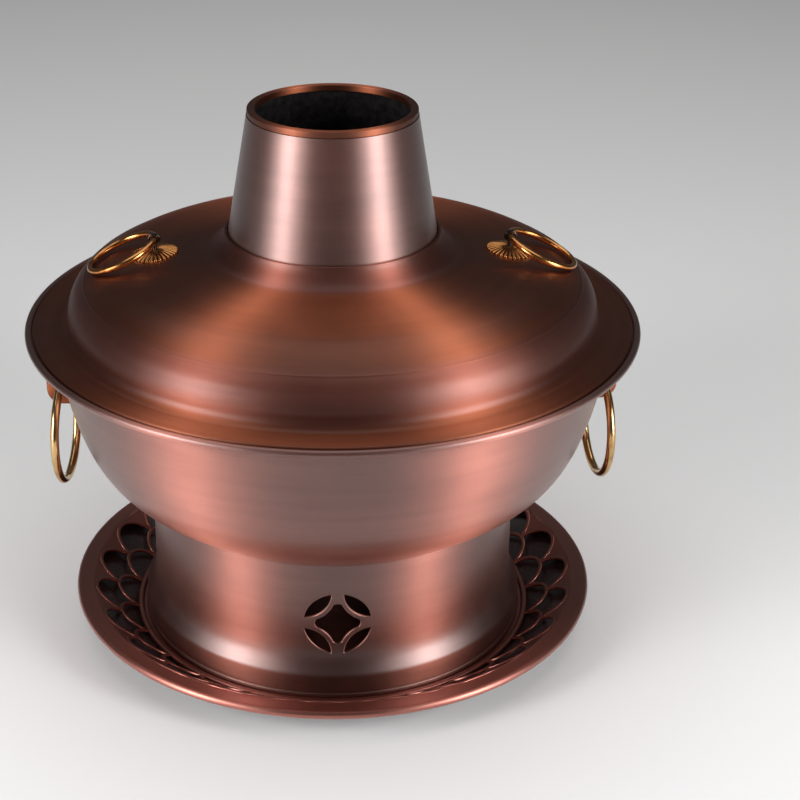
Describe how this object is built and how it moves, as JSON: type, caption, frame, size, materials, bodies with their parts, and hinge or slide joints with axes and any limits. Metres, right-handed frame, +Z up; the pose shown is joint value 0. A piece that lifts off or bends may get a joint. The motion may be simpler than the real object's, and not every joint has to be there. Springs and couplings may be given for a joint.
{
  "type": "chimney hot pot",
  "caption": "Charcoal-fired table pot: a ring-shaped trough round a tapering fire tube, on a vented stand in an openwork tray, with a lift-off domed lid and ring handles.",
  "frame": {"origin": "on the table, under the middle of the tray", "axes": "+Z up; the ring handles lie along X; the vent that the picture shows faces -Y"},
  "size_m": [0.34, 0.34, 0.303],
  "materials": {
    "copper": "fine brushed, antique patina",
    "dark_copper": "darkened copper, satin",
    "brass": "polished with dark patina",
    "gunmetal": "darkened steel",
    "black_enamel": "satin enamel",
    "cast_iron": "rough, sooty"
  },
  "bodies": {
    "tray": {"tray_pan": "black_enamel", "tray_openwork": "dark_copper"},
    "pot": {"stand": "copper", "bowl": "copper", "fire_tube": "copper", "chimney_lip": "copper", "grate": "cast_iron", "handle_lug_left": "brass", "handle_lug_right": "brass", "handle_rivets_left": "copper", "handle_rivets_right": "copper"},
    "lid": {"lid": "copper", "lid_rosette_left": "brass", "lid_rosette_right": "brass", "lid_eye_left": "gunmetal", "lid_eye_right": "gunmetal", "lid_washer_left": "brass", "lid_washer_right": "brass"},
    "lid_ring_left": {"lid_ring_left": "brass"},
    "lid_ring_right": {"lid_ring_right": "brass"},
    "bowl_ring_left": {"bowl_ring_left": "brass"},
    "bowl_ring_right": {"bowl_ring_right": "brass"}
  },
  "joints": [
    {"name": "pot_lift", "type": "slide", "parent": "tray", "child": "pot", "axis": [0, 0, 1], "range_m": [0, 0.06]},
    {"name": "lid_lift", "type": "slide", "parent": "pot", "child": "lid", "axis": [0, 0, 1], "range_m": [0, 0.13]},
    {"name": "lid_ring_left_turn", "type": "hinge", "parent": "lid", "child": "lid_ring_left", "pos_m": [-0.0975, 0, 0.22884], "axis": [0, 1, 0], "range_deg": [0, 185]},
    {"name": "lid_ring_right_turn", "type": "hinge", "parent": "lid", "child": "lid_ring_right", "pos_m": [0.0975, 0, 0.22884], "axis": [0, -1, 0], "range_deg": [0, 185]},
    {"name": "bowl_ring_left_swing", "type": "hinge", "parent": "pot", "child": "bowl_ring_left", "pos_m": [-0.15249, 0, 0.1439], "axis": [0, 1, 0], "range_deg": [-12, 125]},
    {"name": "bowl_ring_right_swing", "type": "hinge", "parent": "pot", "child": "bowl_ring_right", "pos_m": [0.15249, 0, 0.1439], "axis": [0, -1, 0], "range_deg": [-12, 125]}
  ]
}
